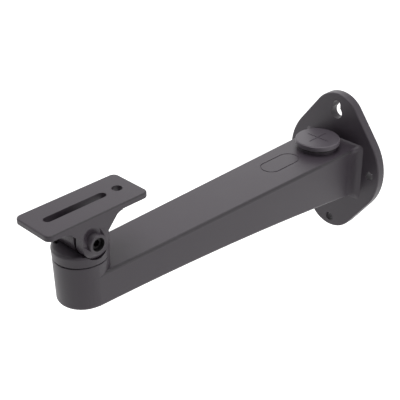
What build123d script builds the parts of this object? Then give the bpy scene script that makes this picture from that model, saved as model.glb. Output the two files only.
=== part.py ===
from build123d import *
import math
import os

# Wall bracket for a surveillance camera: a hollow cast arm grows out of its wall plate,
# a swivel base turns on the arm's end boss, and a camera plate tilts on the swivel base.
# Millimetres. The origin is the centre of the wall plate's back face, the wall is the
# plane Y = 0, the arm runs towards -Y and +Z is up.

os.makedirs("parts", exist_ok=True)

# Wall plate: the hull of a large middle circle and a smaller lobe above and below it
reach = 300.0  # wall to pan axis
plate_width = 102.0
plate_height = 135.0
plate_thick = 8.4
lobe_r = 26.0
plate_edge_r = 1.2
fixing_r = 4.0
side_hole_x = plate_width / 2 - 10.0
low_hole_z = 8.9 - plate_height / 2
key_z = plate_height / 2 - 18.0  # wide end of the keyhole
key_r = 6.1
key_neck_r = 3.9
key_neck_z = key_z + 7.5  # closed end of the keyhole's neck

# Arm: straight taper seen from above, with an arched underside
arm_tip_half = 20.9
arm_root_half = 27.7
arm_tip_top = 24.5
arm_root_top = 23.8
arm_tip_bottom = -3.3
arm_mid_bottom = -10.0
arm_root_bottom = -24.7
arm_top_r = 2.4
arm_bottom_r = 2.6
arm_stations = 4
arm_wall = 4.5
core_edge_r = 3.0
core_stop = 34.0  # solid length left between the cable channel and the pan axis

# Flare that spreads the arm's root onto the wall plate
flare_length = 14.0
flare_side = 5.0
flare_top = 2.6
flare_bottom = 4.6
flare_corner_r = 4.0
flare_steps = 4

# End boss, which carries the pan joint
boss_top = 33.4
boss_top_r = 21.0
boss_low_r = 20.4
boss_bottom_r = 2.6  # rounding of the boss's lower edge
boss_rim_r = 0.6
recess_r = 14.0
web_bottom = 17.6
web_thick = 4.4

# Pan joint
pan_gap = 0.9  # thickness of the friction disc, which shows as a dark seam
pan_disc_inset = 1.0
pin_fit = 0.1  # running clearance on the radius
spigot_r = 12.0
spigot_end_gap = 0.3
pan_thread = 8.0
pan_screw_length = 25.0
hole_clearance = 0.4  # on the radius, round a screw's shank
thread_gap = 0.05

# Swivel base
collar_height = 8.8
collar_top_r = 21.5
collar_rim_r = 2.2
lock_x = -12.2
lock_y = -12.0
lock_thread = 4.0
lock_inset = 0.4

# Tilt joint
tilt_z = 51.0
knuckle_r = 11.8
lug_left = -16.5
lug_right = 8.6
lug_edge_r = 1.0
tilt_gap = 0.8  # thickness of the disc between lug and eye
tilt_disc_r = 9.0
saddle_gap = 0.5
tilt_thread = 6.0
tilt_screw_length = 30.0
tilt_seat_x = 12.0
nut_half = 5.0  # half the width across the nut's flats
nut_pocket_depth = 6.5
pocket_gap = 0.2

# Camera bracket
table_length = 90.7
table_width = 39.4
table_thick = 5.0
table_top = 73.1
table_front = 40.0  # from the tilt axis to the end away from the wall
table_corner_r = 5.0
table_edge_r = 1.2
slot_width = 7.0
slot_front = -28.8  # ends of the slot, measured from the tilt axis towards the wall
slot_back = 25.9
hole_back = 36.8
cheek_thick = 8.0
cheek_half = 21.6  # half the cheek's width where it meets the camera plate
cheek_waist_half = 11.6
cheek_waist_z = 5.8  # above the tilt axis
cheek_root_r = 8.0
cheek_foot = cheek_half + cheek_root_r / 2
eye_bevel = 2.0
ring_r = 7.3
ring_height = 2.4
ring_edge_r = 0.6
ring_draft = 1.6
counterbore_r = 5.25
hole_r = 4.05
dish_r = 8.4
dish_depth = 2.4
dish_y = -4.4
dish_z = 7.6  # above the tilt axis

# Cable entry and its blanking plug, and the outlined field on the arm's top
entry_back = 33.0  # from the wall
entry_boss_r = 17.6
entry_boss_height = 2.6
entry_sleeve_r = 19.6
entry_sleeve_depth = 9.0
plug_thread = 32.0
plug_gasket = 1.6
plug_r = 19.7
plug_head = 5.0
plug_chamfer = 0.8
plug_cut_length = 22.0
plug_cut_width = 1.3
plug_cut_depth = 1.0
field_back = 79.7
field_x = -3.2
field_length = 41.4
field_width = 19.0
field_line = 1.0
field_depth = 0.4

# Planes and axes of the two joints
pan_plane = Plane.XZ.offset(reach)
pan_axis = Axis((0, -reach, 0), (0, 0, 1))
knuckle_plane = Plane((0, -reach, tilt_z), x_dir=(0, 1, 0), z_dir=(1, 0, 0))
tilt_axis = Axis((0, -reach, tilt_z), (1, 0, 0))
collar_bottom = boss_top + pan_gap
collar_top = collar_bottom + collar_height
eye_left = lug_right + tilt_gap
cheek_face = table_width / 2
table_bottom = table_top - table_thick
cheek_top = table_bottom - tilt_z


def across(start, end, share):
    """Value at a share of the way from start to end."""
    return start + (end - start) * share


def arm_half(back):
    return across(arm_root_half, arm_tip_half, back / reach)


def arm_top(back):
    return across(arm_root_top, arm_tip_top, back / reach)


def arm_bottom(back):
    """Height of the arched underside at a distance from the wall."""
    mid = reach / 2
    rise_tip = arm_tip_bottom - arm_mid_bottom
    rise_root = arm_root_bottom - arm_mid_bottom
    bend = (rise_tip + rise_root) / (2 * mid**2)
    slope = (rise_tip - rise_root) / (2 * mid)
    return arm_mid_bottom + slope * (back - mid) + bend * (back - mid) ** 2


def arm_blank(inset, tip, top_r, bottom_r):
    """The tapering arm from the wall to tip, with its skin moved inwards by inset."""
    with BuildPart() as blank:
        for station in range(arm_stations + 1):
            back = tip * station / arm_stations
            half, top = arm_half(back) - inset, arm_top(back) - inset
            bottom = arm_bottom(back) + inset
            with BuildSketch(Plane.XZ.offset(back)):
                with BuildLine():
                    Polyline((-half, top), (half, top), (half, bottom), (-half, bottom), close=True)
                make_face()
                fillet(vertices().group_by(Axis.Y)[-1], top_r)
                fillet(vertices().group_by(Axis.Y)[0], bottom_r)
        loft()
    return blank.part


def ring(plane, outer_r, inner_r, thickness):
    """Flat ring that stands on a plane."""
    with BuildPart() as disc:
        with BuildSketch(plane):
            Circle(outer_r)
            Circle(inner_r, mode=Mode.SUBTRACT)
        extrude(amount=thickness)
    return disc.part


def spring_washer(plane, outer_r, inner_r, thickness):
    """Split ring, clamped flat, with its slanting cut."""
    cut_width, cut_slant = 1.1, 25
    with BuildPart() as coil:
        with BuildSketch(plane):
            Circle(outer_r)
            Circle(inner_r, mode=Mode.SUBTRACT)
        extrude(amount=thickness)
        middle = plane.origin + plane.z_dir * thickness / 2 + plane.x_dir * (outer_r + inner_r) / 2
        with BuildSketch(Plane(middle, x_dir=plane.z_dir, z_dir=plane.x_dir)):
            Rectangle(3 * thickness, cut_width, rotation=cut_slant)
        extrude(amount=outer_r - inner_r, both=True, mode=Mode.SUBTRACT)
    return coil.part


def cap_screw(seat, thread, length):
    """Socket-head cap screw: the shank runs along the seat's normal, the head stands behind it."""
    head_r, head_height = 0.75 * thread + 0.5, thread
    socket_size, socket_depth = 0.5 * thread + 2, 0.5 * thread
    with BuildPart() as screw:
        with BuildSketch(seat):
            Circle(head_r)
        extrude(amount=-head_height)
        crown = screw.edges().sort_by(Axis(seat.origin, seat.z_dir))[0]
        fillet(crown, thread / 12)
        with BuildSketch(seat):
            Circle(thread / 2 - thread_gap)
        extrude(amount=length)
        tip = screw.edges().sort_by(Axis(seat.origin, seat.z_dir))[-1]
        chamfer(tip, thread / 10)
        with BuildSketch(seat.offset(-head_height)):
            RegularPolygon(socket_size / 2, 6, major_radius=False)
        extrude(amount=socket_depth, mode=Mode.SUBTRACT)
    return screw.part


def write(part, name):
    part.label = name
    export_step(part, f"parts/{name}.step")


# Arm casting: wall plate, flare, arm and end boss in one hollow casting
arm_skin = arm_blank(0, reach, arm_top_r, arm_bottom_r)
arm_core = arm_blank(arm_wall, reach - core_stop, core_edge_r, core_edge_r)
entry_top = arm_top(entry_back) + entry_boss_height

with BuildPart() as arm_casting:
    with BuildSketch(Plane.XZ):
        Circle(plate_width / 2)
        with Locations((0, plate_height / 2 - lobe_r), (0, lobe_r - plate_height / 2)):
            Circle(lobe_r)
        make_hull()
    extrude(amount=plate_thick)
    fillet(arm_casting.faces().sort_by(Axis.Y)[0].edges(), plate_edge_r)

    add(arm_skin)

    # The flare widens along a quarter of an ellipse, so that it meets the plate in a hollow curve
    for step in range(flare_steps + 1):
        share = step / flare_steps
        grow = 1 - math.sqrt(1 - (1 - share) ** 2)
        back = plate_thick + share * flare_length
        half = arm_half(back) + flare_side * grow
        top = arm_top(back) + flare_top * grow
        bottom = arm_bottom(back) - flare_bottom * grow
        with BuildSketch(Plane.XZ.offset(back)):
            with BuildLine():
                Polyline((-half, top), (half, top), (half, bottom), (-half, bottom), close=True)
            face = make_face()
            fillet(face.vertices(), flare_corner_r)
    loft()

    # End boss, slightly tapered for the mould
    with BuildSketch(pan_plane):
        with BuildLine():
            Polyline((0, arm_tip_bottom), (boss_low_r, arm_tip_bottom), (boss_top_r, boss_top),
                     (0, boss_top), close=True)
        make_face()
        corner = vertices().sort_by(Axis.Y)[:2].sort_by(Axis.X)[-1]
        fillet(corner, boss_bottom_r)
        rim = vertices().sort_by(Axis.Y)[-2:].sort_by(Axis.X)[-1]
        fillet(rim, boss_rim_r)
    revolve(axis=pan_axis)

    # Seat of the cable plug outside, and its threaded sleeve inside the channel
    with BuildSketch(Plane.XY.offset(arm_top(entry_back) - arm_wall / 2)):
        with Locations((0, -entry_back)):
            Circle(entry_boss_r)
    extrude(amount=arm_wall / 2 + entry_boss_height)

    add(arm_core, mode=Mode.SUBTRACT)

    with BuildSketch(Plane.XY.offset(arm_top(entry_back) - arm_wall / 2)):
        with Locations((0, -entry_back)):
            Circle(entry_sleeve_r)
    extrude(amount=arm_wall / 2 - entry_sleeve_depth)
    with BuildSketch(Plane.XY.offset(entry_top)):
        with Locations((0, -entry_back)):
            Circle(plug_thread / 2)
    extrude(amount=-(entry_boss_height + entry_sleeve_depth), mode=Mode.SUBTRACT)

    # Pan bearing from above, screw recess from below, and the web between them
    with BuildSketch(pan_plane):
        with Locations((0, web_bottom + web_thick)):
            Rectangle(spigot_r + pin_fit, boss_top - web_bottom - web_thick, align=(Align.MIN, Align.MIN))
        with Locations((0, web_bottom)):
            Rectangle(pan_thread / 2 + hole_clearance, web_thick, align=(Align.MIN, Align.MIN))
        with Locations((0, arm_mid_bottom)):
            Rectangle(recess_r, web_bottom - arm_mid_bottom, align=(Align.MIN, Align.MIN))
    revolve(axis=pan_axis, mode=Mode.SUBTRACT)

    # Wall fixings: two side holes, one below, and a keyhole above
    with BuildSketch(Plane.XZ):
        with Locations((side_hole_x, 0), (-side_hole_x, 0), (0, low_hole_z)):
            Circle(fixing_r)
        with Locations((0, key_z)):
            Circle(key_r)
        with BuildLine():
            Polyline((-key_neck_r, key_z), (key_neck_r, key_z), (key_neck_r, key_neck_z),
                     (-key_neck_r, key_neck_z), close=True)
        make_face()
        with Locations((0, key_neck_z)):
            Circle(key_neck_r)
    extrude(amount=plate_thick, mode=Mode.SUBTRACT)

    # Outlined field on top of the arm
    with BuildSketch(Plane.XY.offset(arm_top(field_back) - field_depth)):
        with Locations((field_x, -field_back)):
            SlotOverall(field_length, field_width, rotation=90)
            SlotOverall(field_length - 2 * field_line, field_width - 2 * field_line, rotation=90,
                        mode=Mode.SUBTRACT)
    extrude(amount=2 * field_depth, mode=Mode.SUBTRACT)
write(arm_casting.part, "arm_casting")

# Blanking plug of the cable entry, screwed down on its gasket
entry_plane = Plane((0, -entry_back, entry_top))
write(ring(entry_plane, entry_boss_r, plug_thread / 2 + thread_gap, plug_gasket), "plug_gasket")

with BuildPart() as cable_plug:
    with BuildSketch(entry_plane.offset(plug_gasket)):
        Circle(plug_r)
    extrude(amount=plug_head)
    chamfer(cable_plug.edges(), plug_chamfer)
    with BuildSketch(entry_plane.offset(plug_gasket + plug_chamfer)):
        Circle(plug_thread / 2 - thread_gap)
    extrude(amount=-(plug_gasket + plug_chamfer + entry_boss_height + entry_sleeve_depth))
    with BuildSketch(entry_plane.offset(plug_gasket + plug_head)):
        Rectangle(plug_cut_length, plug_cut_width)
        Rectangle(plug_cut_width, plug_cut_length)
    extrude(amount=-plug_cut_depth, mode=Mode.SUBTRACT)
write(cable_plug.part, "cable_plug")

# Pan joint: friction disc above the boss, cap screw with its washers from below
write(ring(Plane((0, -reach, boss_top)), boss_top_r - pan_disc_inset, spigot_r + pin_fit, pan_gap),
      "pan_friction_disc")

pan_washer_thick = pan_thread / 5
pan_spring_thick = pan_thread / 4
pan_washer_plane = Plane((0, -reach, web_bottom - pan_washer_thick))
write(ring(pan_washer_plane, pan_thread, pan_thread / 2 + thread_gap, pan_washer_thick), "pan_flat_washer")
pan_spring_plane = pan_washer_plane.offset(-pan_spring_thick)
write(spring_washer(pan_spring_plane, 0.8 * pan_thread, pan_thread / 2 + thread_gap, pan_spring_thick),
      "pan_spring_washer")
write(cap_screw(pan_spring_plane, pan_thread, pan_screw_length), "pan_screw")

# Swivel base: collar, spigot and the left half of the tilt knuckle in one casting
with BuildPart() as swivel_base:
    with BuildSketch(knuckle_plane.offset(lug_left)):
        Circle(knuckle_r)
    extrude(amount=lug_right - lug_left)
    fillet(swivel_base.edges().filter_by(GeomType.CIRCLE), lug_edge_r)
    with BuildSketch(pan_plane):
        with BuildLine():
            Polyline((0, web_bottom + web_thick + spigot_end_gap),
                     (spigot_r, web_bottom + web_thick + spigot_end_gap),
                     (spigot_r, collar_bottom), (boss_top_r, collar_bottom),
                     (collar_top_r, collar_top), (0, collar_top), close=True)
        make_face()
        rim = vertices().sort_by(Axis.Y)[-2:].sort_by(Axis.X)[-1]
        fillet(rim, collar_rim_r)
    revolve(axis=pan_axis)

    # Saddle that the camera bracket's eye turns in
    with BuildSketch(knuckle_plane.offset(lug_right)):
        Circle(knuckle_r + saddle_gap)
    extrude(amount=2 * boss_top_r, mode=Mode.SUBTRACT)

    # Tapped hole of the pan screw, clearance hole and nut pocket of the tilt screw
    with BuildSketch(Plane((0, -reach, web_bottom))):
        Circle(pan_thread / 2)
    extrude(amount=pan_screw_length, mode=Mode.SUBTRACT)
    with BuildSketch(knuckle_plane.offset(lug_left)):
        Circle(tilt_thread / 2 + hole_clearance)
    extrude(amount=lug_right - lug_left, mode=Mode.SUBTRACT)
    with BuildSketch(knuckle_plane.offset(lug_left)):
        RegularPolygon(nut_half + pocket_gap, 6, major_radius=False)
    extrude(amount=nut_pocket_depth, mode=Mode.SUBTRACT)
    with BuildSketch(Plane((lock_x, lock_y - reach, collar_bottom))):
        Circle(lock_thread / 2)
    extrude(amount=collar_height, mode=Mode.SUBTRACT)
write(swivel_base.part, "swivel_base")

# Grub screw that locks the swivel base against turning
with BuildPart() as pan_lock_screw:
    with BuildSketch(Plane((lock_x, lock_y - reach, collar_bottom))):
        Circle(lock_thread / 2 - thread_gap)
    extrude(amount=collar_height - lock_inset)
    chamfer(pan_lock_screw.edges(), lock_thread / 12)
    with BuildSketch(Plane((lock_x, lock_y - reach, collar_top - lock_inset))):
        RegularPolygon(lock_thread / 4, 6, major_radius=False)
    extrude(amount=-lock_thread / 2, mode=Mode.SUBTRACT)
write(pan_lock_screw.part, "pan_lock_screw")

# Tilt joint: cap screw from the right through the eye, nut held in the lug's pocket
tilt_spring_thick = tilt_thread / 4 + 0.1
tilt_nut_thick = nut_half
tilt_plane = Plane((0, -reach, tilt_z), x_dir=(0, 1, 0), z_dir=(-1, 0, 0))
tilt_spring_plane = tilt_plane.offset(-tilt_seat_x - tilt_spring_thick)
write(spring_washer(tilt_spring_plane, counterbore_r - 0.3, tilt_thread / 2 + thread_gap,
                    tilt_spring_thick), "tilt_spring_washer")
write(cap_screw(tilt_spring_plane, tilt_thread, tilt_screw_length), "tilt_screw")
write(ring(tilt_plane.offset(-eye_left), tilt_disc_r, tilt_thread / 2 + thread_gap, tilt_gap),
      "tilt_friction_disc")

with BuildPart() as tilt_nut:
    with BuildSketch(tilt_plane.offset(-lug_left - nut_pocket_depth)):
        RegularPolygon(nut_half, 6, major_radius=False)
        Circle(tilt_thread / 2, mode=Mode.SUBTRACT)
    extrude(amount=tilt_nut_thick)
write(tilt_nut.part, "tilt_nut")

# Camera bracket: slotted plate, cheek and eye in one casting
with BuildPart() as camera_bracket:
    with BuildSketch(Plane.XY.offset(table_bottom)):
        with Locations((0, table_length / 2 - table_front - reach)):
            RectangleRounded(table_width, table_length, table_corner_r)
    extrude(amount=table_thick)
    fillet(camera_bracket.edges().group_by(Axis.Z)[-1], table_edge_r)
    fillet(camera_bracket.edges().group_by(Axis.Z)[0], table_edge_r)

    # Cheek below the plate's right edge: a trapezium that narrows to the knuckle
    with BuildSketch(knuckle_plane.offset(cheek_face - cheek_thick)):
        with BuildLine():
            Polyline((-knuckle_r, 0), (-cheek_waist_half, cheek_waist_z), (-cheek_half, cheek_top),
                     (-cheek_foot, cheek_top), (-cheek_foot, cheek_top + table_edge_r),
                     (cheek_foot, cheek_top + table_edge_r), (cheek_foot, cheek_top),
                     (cheek_half, cheek_top), (cheek_waist_half, cheek_waist_z), (knuckle_r, 0),
                     close=True)
        make_face()
        fillet(vertices().group_by(Axis.Y)[-2].sort_by(Axis.X)[1:3], cheek_root_r)
    extrude(amount=cheek_thick)

    with BuildSketch(Plane((0, -reach, tilt_z))):
        with BuildLine():
            Polyline((eye_left, 0), (eye_left, knuckle_r - eye_bevel),
                     (cheek_face - cheek_thick, knuckle_r), (cheek_face, knuckle_r), (cheek_face, 0),
                     close=True)
        make_face()
    revolve(axis=tilt_axis)

    # Cone that rises from the eye, a soft hollow beside it, and the ring round the counterbore
    with BuildSketch(Plane((0, -reach, tilt_z))):
        with BuildLine():
            Polyline((cheek_face, 0), (cheek_face, knuckle_r), (cheek_face + ring_height, ring_r),
                     (cheek_face + ring_height, 0), close=True)
        make_face()
    revolve(axis=tilt_axis)
    with BuildSketch(Plane((cheek_face, dish_y - reach, tilt_z + dish_z))):
        with BuildLine():
            wall = TangentArc((-dish_depth, 0), (-dish_depth / 2, dish_r / 2), tangent=(0, 1))
            TangentArc(wall @ 1, (0, dish_r), tangent=wall % 1)
            Polyline((0, dish_r), (ring_height, dish_r + ring_height), (ring_height, 0), (-dish_depth, 0))
        make_face()
    revolve(axis=Axis((0, dish_y - reach, tilt_z + dish_z), (1, 0, 0)), mode=Mode.SUBTRACT)
    with BuildSketch(Plane((0, -reach, tilt_z))):
        with BuildLine():
            Polyline((cheek_face - dish_depth, 0), (cheek_face - dish_depth, ring_r + ring_draft),
                     (cheek_face + ring_height, ring_r), (cheek_face + ring_height, 0), close=True)
        make_face()
        fillet(vertices().group_by(Axis.X)[-1].sort_by(Axis.Y)[-1], ring_edge_r)
    revolve(axis=tilt_axis)

    # Counterbore and running hole for the tilt screw
    with BuildSketch(knuckle_plane.offset(tilt_seat_x)):
        Circle(counterbore_r)
    extrude(amount=cheek_face + ring_height - tilt_seat_x, mode=Mode.SUBTRACT)
    with BuildSketch(knuckle_plane.offset(eye_left)):
        Circle(tilt_thread / 2 - thread_gap + pin_fit)
    extrude(amount=tilt_seat_x - eye_left, mode=Mode.SUBTRACT)

    # Slot and hole for the camera's screws
    with BuildSketch(Plane.XY.offset(table_top)):
        with Locations((0, (slot_front + slot_back) / 2 - reach)):
            SlotOverall(slot_back - slot_front, slot_width, rotation=90)
        with Locations((0, hole_back - reach)):
            Circle(hole_r)
    extrude(amount=-table_thick, mode=Mode.SUBTRACT)
write(camera_bracket.part, "camera_bracket")
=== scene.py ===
import math

import bmesh
import bpy
from mathutils import Euler, Matrix, Vector


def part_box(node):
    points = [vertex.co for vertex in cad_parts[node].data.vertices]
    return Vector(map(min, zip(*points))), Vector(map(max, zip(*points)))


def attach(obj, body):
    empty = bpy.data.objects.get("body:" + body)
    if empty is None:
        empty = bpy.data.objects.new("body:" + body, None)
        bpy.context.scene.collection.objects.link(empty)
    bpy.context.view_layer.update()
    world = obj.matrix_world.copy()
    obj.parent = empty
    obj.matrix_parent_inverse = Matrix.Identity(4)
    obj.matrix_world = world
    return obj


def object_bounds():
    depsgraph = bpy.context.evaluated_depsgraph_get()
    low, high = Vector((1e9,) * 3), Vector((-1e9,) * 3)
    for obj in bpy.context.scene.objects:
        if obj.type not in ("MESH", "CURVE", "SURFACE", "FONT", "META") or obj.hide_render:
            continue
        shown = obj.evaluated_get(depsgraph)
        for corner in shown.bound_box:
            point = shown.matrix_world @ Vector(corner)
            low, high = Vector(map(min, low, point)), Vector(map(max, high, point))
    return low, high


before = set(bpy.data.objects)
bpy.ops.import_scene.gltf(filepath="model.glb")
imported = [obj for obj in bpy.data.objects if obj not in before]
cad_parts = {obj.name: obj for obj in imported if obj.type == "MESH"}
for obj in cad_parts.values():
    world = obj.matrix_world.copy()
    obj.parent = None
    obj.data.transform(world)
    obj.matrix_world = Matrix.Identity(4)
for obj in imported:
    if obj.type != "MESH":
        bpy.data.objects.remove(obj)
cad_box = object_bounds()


# Arm casting: the wall plate, the hollow arm and the boss at its end are one aluminium
# die casting with a matt dark grey powder coat. The baked powder leaves a fine orange
# peel, and pigment and thickness vary a little over a large face.
class Signal:
    """A shader value that Python's operators turn into Math nodes."""

    def __init__(self, tree, socket):
        self.tree = tree
        self.socket = socket

    def node(self, kind, settings=(), output=0, **inputs):
        """A new node: its settings first, then the values or links of its sockets.

        A socket goes by its name, or by i and its number where the names repeat.
        """
        made = self.tree.nodes.new(kind)
        for name, value in dict(settings).items():
            setattr(made, name, value)
        for name, value in inputs.items():
            key = int(name[1:]) if name[1:].isdigit() else name.replace("_", " ")
            target = made.inputs[key]
            if isinstance(value, Signal):
                self.tree.links.new(value.socket, target)
            else:
                target.default_value = value
        return Signal(self.tree, made.outputs[output])

    def maths(self, operation, first, second=0):
        return self.node("ShaderNodeMath", {"operation": operation}, i0=first, i1=second)

    def __add__(self, other):
        return self.maths("ADD", self, other)

    def __radd__(self, other):
        return self.maths("ADD", other, self)

    def __sub__(self, other):
        return self.maths("SUBTRACT", self, other)

    def __rsub__(self, other):
        return self.maths("SUBTRACT", other, self)

    def __mul__(self, other):
        return self.maths("MULTIPLY", self, other)

    def __rmul__(self, other):
        return self.maths("MULTIPLY", other, self)

    def power(self, other):
        return self.maths("POWER", self, other)

    def above(self, other):
        return self.maths("GREATER_THAN", self, other)

    def below(self, other):
        return self.maths("LESS_THAN", self, other)

    def larger(self, other):
        return self.maths("MAXIMUM", self, other)

    def unsigned(self):
        return self.maths("ABSOLUTE", self)

    def parts(self):
        """The x, y and z of a vector."""
        split = self.node("ShaderNodeSeparateXYZ", Vector=self).socket.node
        return [Signal(self.tree, output) for output in split.outputs]

    def blend(self, low, high):
        """Colour between low, where this value is 0, and high, where it is 1."""
        return self.node("ShaderNodeMix", {"data_type": "RGBA"}, 2, i0=self, i6=low, i7=high)


def material(name):
    """A node material, its principled shader and a point on the surface in metres."""
    made = bpy.data.materials.new(name)
    made.use_nodes = True
    tree = made.node_tree
    shader = tree.nodes["Principled BSDF"]
    place = Signal(tree, tree.nodes.new("ShaderNodeTexCoord").outputs["Object"])
    return made, shader, place


def feed(shader, name, signal):
    signal.tree.links.new(signal.socket, shader.inputs[name])


def finish_node(node, made):
    """Gives a CAD node this material and no other."""
    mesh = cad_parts[node].data
    mesh.materials.clear()
    mesh.materials.append(made)


CLOUD_PER_METRE = 28
CLOUD_FRAY = 0.55
PEEL_PER_METRE = 1500
PEEL_DEPTH = 0.00003
PEEL_STRENGTH = 0.35
SPECKS_PER_PEEL = 2.4
CLOUD_SHADE, SPECK_SHADE = 0.35, 0.5
TONE_SPREAD = 0.08
COAT_ROUGHNESS = 0.44
PEEL_GLOSS, CLOUD_GLOSS, PAINTED_TONE_GLOSS = 0.08, 0.06, 0.1
# Painted shade: the dark tone painted on the long edges and in the counterbore.
PAINTED_SHADE_TONE = (0.010, 0.009, 0.010)


def powder_coat(name, tone, roughness=COAT_ROUGHNESS, film=None, painted_tone=PAINTED_SHADE_TONE):
    """Powder coat. A painted tone may cover it in places: painted shade on the castings, painted light on
    the plug.

    How far it covers the coat is what film gives, from the point on the surface and its normal.
    """
    made, shader, place = material(name)
    cloud = place.node("ShaderNodeTexNoise", Vector=place, Scale=CLOUD_PER_METRE, Detail=3,
                       Roughness=CLOUD_FRAY)
    peel = place.node("ShaderNodeTexNoise", Vector=place, Scale=PEEL_PER_METRE, Detail=2)
    speck = place.node("ShaderNodeTexNoise", Vector=place, Scale=SPECKS_PER_PEEL * PEEL_PER_METRE,
                       Detail=1)
    shade = 0.5 + CLOUD_SHADE * (cloud - 0.5) + SPECK_SHADE * (speck - 0.5)
    low = [(1 - TONE_SPREAD) * value for value in tone] + [1]
    high = [(1 + TONE_SPREAD) * value for value in tone] + [1]
    colour = shade.blend(low, high)
    gloss = roughness - PEEL_GLOSS / 2 + PEEL_GLOSS * peel + CLOUD_GLOSS * (cloud - 0.5)
    # Painted light and shade: film gives how far the painted tone covers the coat.
    if film:
        painted_share = film(place, place.node("ShaderNodeTexCoord", output="Normal"))
        colour = painted_share.blend(colour, [*painted_tone, 1])
        gloss = gloss + PAINTED_TONE_GLOSS * painted_share
    feed(shader, "Base Color", colour)
    feed(shader, "Roughness", gloss)
    feed(shader, "Normal", place.node("ShaderNodeBump", Height=peel, Strength=PEEL_STRENGTH,
                                      Distance=PEEL_DEPTH))
    return made


COAT_TONE = (0.054, 0.043, 0.056)
# Painted shade on the long edges: how dark it is, and where it stops on the arm.
EDGE_SHADE = 0.65
FLARE_END = -0.018
EDGE_TOP = 0.0255


def long_edge(facing):
    """1 in the middle of the rounding between a top and a side face, 0 on both faces."""
    across, _, up = facing.parts()
    return (2 * across.unsigned() * up).larger(0)


def arm_edge_shade(place, facing):
    """Painted shade: the arm's long edges are painted darker than the faces beside them."""
    _, along, height = place.parts()
    return EDGE_SHADE * long_edge(facing) * along.below(FLARE_END) * height.below(EDGE_TOP)


arm_coat = powder_coat("arm powder coat", COAT_TONE, film=arm_edge_shade)
finish_node("arm_casting", arm_coat)

# Blends at the boss: a narrow curved face on each side, where the arm's flat side runs out on
# the round boss. Both are part of the arm's aluminium casting and have its coat.
PAN_Y = -0.3
BOSS_LOW, BOSS_LOW_R = -0.0033, 0.0204
BOSS_TOP, BOSS_TOP_R = 0.0334, 0.0210
TIP_HALF, TIP_TOP = 0.0209, 0.0245
SIDE_SLOPE = 0.0068 / 0.3  # growth of the arm's half width over its length
LOW_EDGE_R, TOP_EDGE_R = 0.0026, 0.0024
BLEND_TURN = math.radians(16)
BLEND_DEPTH = 0.0005
BLEND_START = 0.0001  # from the pan axis towards the wall
BLEND_RISE = 0.0006  # above the start of the top rounding
BLEND_STEPS, EDGE_STEPS, SIDE_STEPS = 8, 6, 10
CREASE = math.radians(35)


def skin(name, loops, ring=False):
    """A mesh through closed loops of points: the last joins the first, or both ends are shut."""
    count = len(loops[0])
    points = [point for loop in loops for point in loop]
    faces = []
    for here in range(len(loops) if ring else len(loops) - 1):
        there = (here + 1) % len(loops)
        for i in range(count):
            j = (i + 1) % count
            faces.append((here * count + i, here * count + j, there * count + j, there * count + i))
    if not ring:
        faces += [tuple(range(count)), tuple(range(len(points) - count, len(points)))]
    mesh = bpy.data.meshes.new(name)
    mesh.from_pydata(points, [], faces)
    shell = bmesh.new()
    shell.from_mesh(mesh)
    bmesh.ops.recalc_face_normals(shell, faces=shell.faces)
    shell.to_mesh(mesh)
    shell.free()
    mesh.polygons.foreach_set("use_smooth", [True] * len(mesh.polygons))
    mesh.set_sharp_from_angle(angle=CREASE)
    made = bpy.data.objects.new(name, mesh)
    bpy.context.collection.objects.link(made)
    return made


def finish_piece(piece, body, made):
    """A coated form of a casting, which rides on the casting's body."""
    piece.data.materials.append(made)
    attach(piece, body)


def rounding(height, start, radius):
    """How far an edge's rounding draws a side in, at a height from where it starts."""
    beyond = min(max(height - start, 0), radius)
    return radius - math.sqrt(radius ** 2 - beyond ** 2)


def boss_blend(name, side):
    """A thin skin from the arm's side to the boss, right where side is 1 and left where it is -1."""
    loops = []
    low_start, top_start = BOSS_LOW + LOW_EDGE_R, TIP_TOP - TOP_EDGE_R
    heights = [BOSS_LOW + LOW_EDGE_R * (1 - math.cos(math.radians(90 * i / EDGE_STEPS)))
               for i in range(EDGE_STEPS + 1)]
    heights += [low_start + (top_start + BLEND_RISE - low_start) * i / SIDE_STEPS
                for i in range(1, SIDE_STEPS + 1)]
    for z in heights:
        drawn = rounding(-z, -low_start, LOW_EDGE_R)
        radius = BOSS_LOW_R + (BOSS_TOP_R - BOSS_LOW_R) * (z - BOSS_LOW) / (BOSS_TOP - BOSS_LOW) - drawn
        half = max(TIP_HALF - drawn - rounding(z, top_start, TOP_EDGE_R), radius)

        # A curve with one control point, where the side's line meets the boss's tangent
        corner_y = (radius - half * math.cos(BLEND_TURN)) / (
            SIDE_SLOPE * math.cos(BLEND_TURN) - math.sin(BLEND_TURN))
        start = Vector((half, BLEND_START))
        corner = Vector((half + SIDE_SLOPE * corner_y, corner_y))
        end = radius * Vector((math.cos(BLEND_TURN), -math.sin(BLEND_TURN)))
        outside = []
        for i in range(BLEND_STEPS + 1):
            along = i / BLEND_STEPS
            outside.append((1 - along) ** 2 * start + 2 * along * (1 - along) * corner + along ** 2 * end)
        inside = [point * (1 - BLEND_DEPTH / radius) for point in reversed(outside)]
        loops.append([(side * point.x, PAN_Y + point.y, z) for point in outside + inside])
    return skin(name, loops)


finish_piece(boss_blend("boss_blend_right", 1), "arm", arm_coat)
finish_piece(boss_blend("boss_blend_left", -1), "arm", arm_coat)

# Cable plug: a turned blanking plug with a lighter powder coat, screwed down on a black
# rubber gasket over the entry hole in the arm's top. A cross 0.4 mm deep is cut in its face.
PLUG_TONE = (0.102, 0.088, 0.106)
# Painted light: the lighter tone painted on the plug's side and chamfers.
PLUG_SIDE_LIGHT_TONE = (0.180, 0.160, 0.184)
PLUG_ROUGHNESS = 0.42
LEVEL_FACE = 0.9
PLUG_Y = -0.033
CROSS_LENGTH, CROSS_WIDTH = 0.02196, 0.00126
CROSS_UNDER, CROSS_FLOOR = 0.00098, 0.0004  # under and upper side of the cross's floor, below the face


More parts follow.
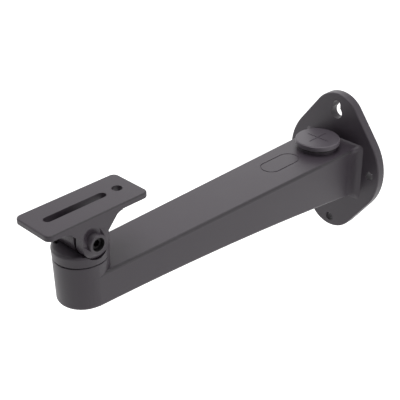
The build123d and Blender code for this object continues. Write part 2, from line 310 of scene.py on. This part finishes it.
def plug_side_light(place, facing):
    """Painted light: 1 on the plug's side and chamfers, which are painted lighter than its face, 0 on the
    face.
    """
    return facing.parts()[2].below(LEVEL_FACE)


plug_coat = powder_coat("plug powder coat", PLUG_TONE, PLUG_ROUGHNESS, plug_side_light, PLUG_SIDE_LIGHT_TONE)
finish_node("cable_plug", plug_coat)

plug_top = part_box("cable_plug")[1].z
long, wide = CROSS_LENGTH / 2, CROSS_WIDTH / 2
cross = [(long, -wide), (long, wide), (wide, wide), (wide, long), (-wide, long), (-wide, wide),
         (-long, wide), (-long, -wide), (-wide, -wide), (-wide, -long), (wide, -long), (wide, -wide)]
cross_loops = [[(x, PLUG_Y + y, plug_top - depth) for x, y in cross]
               for depth in (CROSS_UNDER, CROSS_FLOOR)]
finish_piece(skin("cross_floor", cross_loops), "arm", plug_coat)

GASKET_TONE = 0.024
GRAIN_PER_METRE = 2200
GRAIN_DEPTH = 0.00002
GRAIN_STRENGTH = 0.3
BLOOM_PER_METRE = 90
BLOOM_DARK, BLOOM_PALE = 0.8, 1.3
BLACK_ROUGHNESS, BLOOM_ROUGHNESS = 0.62, 0.18


def matt_black(name, tone):
    """Black rubber or plastic with a fine grain, greyer in places."""
    made, shader, place = material(name)
    grain = place.node("ShaderNodeTexNoise", Vector=place, Scale=GRAIN_PER_METRE, Detail=3)
    bloom = place.node("ShaderNodeTexNoise", Vector=place, Scale=BLOOM_PER_METRE, Detail=3)
    feed(shader, "Base Color", bloom.blend([BLOOM_DARK * tone] * 3 + [1], [BLOOM_PALE * tone] * 3 + [1]))
    feed(shader, "Roughness", BLACK_ROUGHNESS + BLOOM_ROUGHNESS * bloom)
    feed(shader, "Normal", place.node("ShaderNodeBump", Height=grain, Strength=GRAIN_STRENGTH,
                                      Distance=GRAIN_DEPTH))
    return made


finish_node("plug_gasket", matt_black("gasket rubber", GASKET_TONE))

# Swivel base: an aluminium die casting with the arm's coat, which turns on the boss. Its
# spigot runs in the boss's bore, and a black plastic disc between the two castings shows as
# a dark seam.
PAN_DISC_TONE = 0.010

finish_node("swivel_base", powder_coat("swivel powder coat", COAT_TONE))
finish_node("pan_friction_disc", matt_black("friction disc", PAN_DISC_TONE))

# Camera bracket: an aluminium die casting with the arm's coat. Its slotted plate carries the
# camera, and the tilt screw clamps its eye to the lug of the swivel base, with a black
# plastic disc between the two.
TILT_Z = 0.051
TILT_DISC_TONE = 0.022
# Where shade is painted on the bracket: inside the counterbore, and on the plate's long edges above this
# height.
COUNTERBORE_R = 0.0053
COUNTERBORE_FLOOR = 0.0115
PLATE_EDGE = 0.0715


def bracket_shade(place, facing):
    """Painted shade: the counterbore is painted dark all over, and the plate's long edges darker than its
    faces.
    """
    across, along, height = place.parts()
    back, rise = along - PAN_Y, height - TILT_Z
    from_axis = (back * back + rise * rise).power(0.5)
    counterbore = from_axis.below(COUNTERBORE_R) * across.above(COUNTERBORE_FLOOR)
    edges = EDGE_SHADE * long_edge(facing) * height.above(PLATE_EDGE)
    return counterbore.larger(edges)


bracket_coat = powder_coat("bracket powder coat", COAT_TONE, film=bracket_shade)
finish_node("camera_bracket", bracket_coat)
finish_node("tilt_friction_disc", matt_black("tilt disc", TILT_DISC_TONE))

# Slot draft: the walls of the camera plate's slot, cast with the plate and coated like it.
# They lean in a little, so that the mould's core draws out upwards, and the slot is narrower
# below than at the top.
SLOT_ENDS = (-0.3253, -0.2776)
SLOT_R, SLOT_LOW_R = 0.00352, 0.0032
SLOT_TOP, SLOT_LOW = 0.0725, 0.06812
SLOT_SECTION = ((SLOT_R, SLOT_TOP), (SLOT_R, SLOT_LOW), (SLOT_LOW_R, SLOT_LOW))
SLOT_STEPS = 16

slot_loops = []
for centre, first in ((SLOT_ENDS[1], 0), (SLOT_ENDS[0], 180)):
    for i in range(SLOT_STEPS + 1):
        angle = math.radians(first + 180 * i / SLOT_STEPS)
        slot_loops.append([(radius * math.cos(angle), centre + radius * math.sin(angle), z)
                           for radius, z in SLOT_SECTION])
finish_piece(skin("slot_draft", slot_loops, ring=True), "head", bracket_coat)

# Screws, washers and nut: blackened steel. The pan screw clamps the swivel base from below,
# the tilt screw and its nut clamp the eye to the lug, and the lock screw stands in the top of
# the collar.
OXIDE_DARK, OXIDE_PALE = (0.008, 0.007, 0.008), (0.019, 0.017, 0.019)
OXIDE_PER_METRE = 420
OXIDE_FRAY = 0.6
OXIDE_METAL = 0.85
STEEL_ROUGHNESS, OXIDE_ROUGHNESS = 0.34, 0.16
STEEL_GRAIN_PER_METRE = 2600
STEEL_GRAIN_DEPTH = 0.00001
STEEL_GRAIN_STRENGTH = 0.2


def black_oxide(name):
    """Black oxide on steel. Where the film is paler, it is also a little duller."""
    made, shader, place = material(name)
    film = place.node("ShaderNodeTexNoise", Vector=place, Scale=OXIDE_PER_METRE, Detail=4,
                      Roughness=OXIDE_FRAY)
    grain = place.node("ShaderNodeTexNoise", Vector=place, Scale=STEEL_GRAIN_PER_METRE, Detail=2)
    feed(shader, "Base Color", film.blend([*OXIDE_DARK, 1], [*OXIDE_PALE, 1]))
    feed(shader, "Roughness", STEEL_ROUGHNESS + OXIDE_ROUGHNESS * film)
    feed(shader, "Normal", place.node("ShaderNodeBump", Height=grain, Strength=STEEL_GRAIN_STRENGTH,
                                      Distance=STEEL_GRAIN_DEPTH))
    shader.inputs["Metallic"].default_value = OXIDE_METAL
    return made


oxide = black_oxide("black oxide steel")
for fastener in ("pan_screw", "pan_spring_washer", "pan_flat_washer", "pan_lock_screw",
                 "tilt_screw", "tilt_spring_washer", "tilt_nut"):
    finish_node(fastener, oxide)

# Studio: a white floor well below the bracket, a white surround, and soft lamps whose
# panels are large beside the object.
FLOOR_BELOW = 0.22
FLOOR_HALF = 4.0
FLOOR_WHITE = 0.8
FLOOR_ROUGHNESS = 0.9
SURROUND_LIGHT = 0.01
MIDDLE = (0, -0.15, 0.02)


def seen_directly(tree):
    """1 for camera, glossy and transmission rays."""
    path = tree.nodes.new("ShaderNodeLightPath")
    camera, glossy, through = (Signal(tree, path.outputs[name]) for name in (
        "Is Camera Ray", "Is Glossy Ray", "Is Transmission Ray"))
    return camera.larger(glossy.larger(through))


def studio_floor():
    corners = [(-FLOOR_HALF, -FLOOR_HALF), (FLOOR_HALF, -FLOOR_HALF),
               (FLOOR_HALF, FLOOR_HALF), (-FLOOR_HALF, FLOOR_HALF)]
    height = cad_box[0].z - FLOOR_BELOW
    mesh = bpy.data.meshes.new("studio_floor")
    mesh.from_pydata([(x, y, height) for x, y in corners], [], [(0, 1, 2, 3)])
    floor = bpy.data.objects.new("studio_floor", mesh)
    bpy.context.collection.objects.link(floor)
    made = bpy.data.materials.new("studio white")
    made.use_nodes = True
    tree = made.node_tree
    shader = tree.nodes["Principled BSDF"]
    shader.inputs["Base Color"].default_value = (FLOOR_WHITE, FLOOR_WHITE, FLOOR_WHITE, 1)
    shader.inputs["Roughness"].default_value = FLOOR_ROUGHNESS
    shader.inputs["Emission Color"].default_value = (1, 1, 1, 1)
    feed(shader, "Emission Strength", seen_directly(tree))
    mesh.materials.append(made)


def surround():
    """White where it is seen, and almost no light on the object."""
    world = bpy.data.worlds.new("surround")
    bpy.context.scene.world = world
    world.use_nodes = True
    tree = world.node_tree
    background = tree.nodes["Background"]
    background.inputs["Color"].default_value = (1, 1, 1, 1)
    direct = seen_directly(tree)
    strength = SURROUND_LIGHT + (1 - SURROUND_LIGHT) * direct
    feed(background, "Strength", strength)


def panel(name, place, size, power):
    """A square lamp that faces the middle of the bracket."""
    lamp = bpy.data.lights.new(name, "AREA")
    lamp.size = size
    lamp.energy = power
    holder = bpy.data.objects.new(name, lamp)
    holder.location = place
    holder.rotation_euler = (Vector(MIDDLE) - Vector(place)).to_track_quat("-Z", "Y").to_euler()
    bpy.context.collection.objects.link(holder)


studio_floor()
surround()
panel("overhead", (0.0, -0.1, 1.5), size=1.2, power=12.5)
panel("right side", (1.42, 0.35, 0.35), size=0.9, power=4.6)
panel("left side", (-1.42, -0.4, 0.4), size=0.9, power=3.9)
panel("behind", (-0.9, 1.0, 0.5), size=0.9, power=1.9)

# Camera: stands to the right and in front of the bracket and looks down on it, at the
# height and distance that the perspective of the arm gives.
CAMERA_PLACE = (0.4860, -0.6507, 0.4200)
CAMERA_AZIMUTH = 45.877
CAMERA_ELEVATION = 30.02
CAMERA_ROLL = -0.49
LENS_MM = 87.93
SENSOR_MM = 36

lens = bpy.data.cameras.new("camera")
lens.lens = LENS_MM
lens.sensor_width = SENSOR_MM
camera = bpy.data.objects.new("camera", lens)
turn = Euler((math.radians(90 - CAMERA_ELEVATION), 0, math.radians(CAMERA_AZIMUTH))).to_matrix()
camera.matrix_world = Matrix.Translation(CAMERA_PLACE) @ (
    turn @ Matrix.Rotation(math.radians(CAMERA_ROLL), 3, "Z")).to_4x4()
bpy.context.collection.objects.link(camera)
bpy.context.scene.camera = camera
bpy.context.scene.view_settings.view_transform = "Standard"
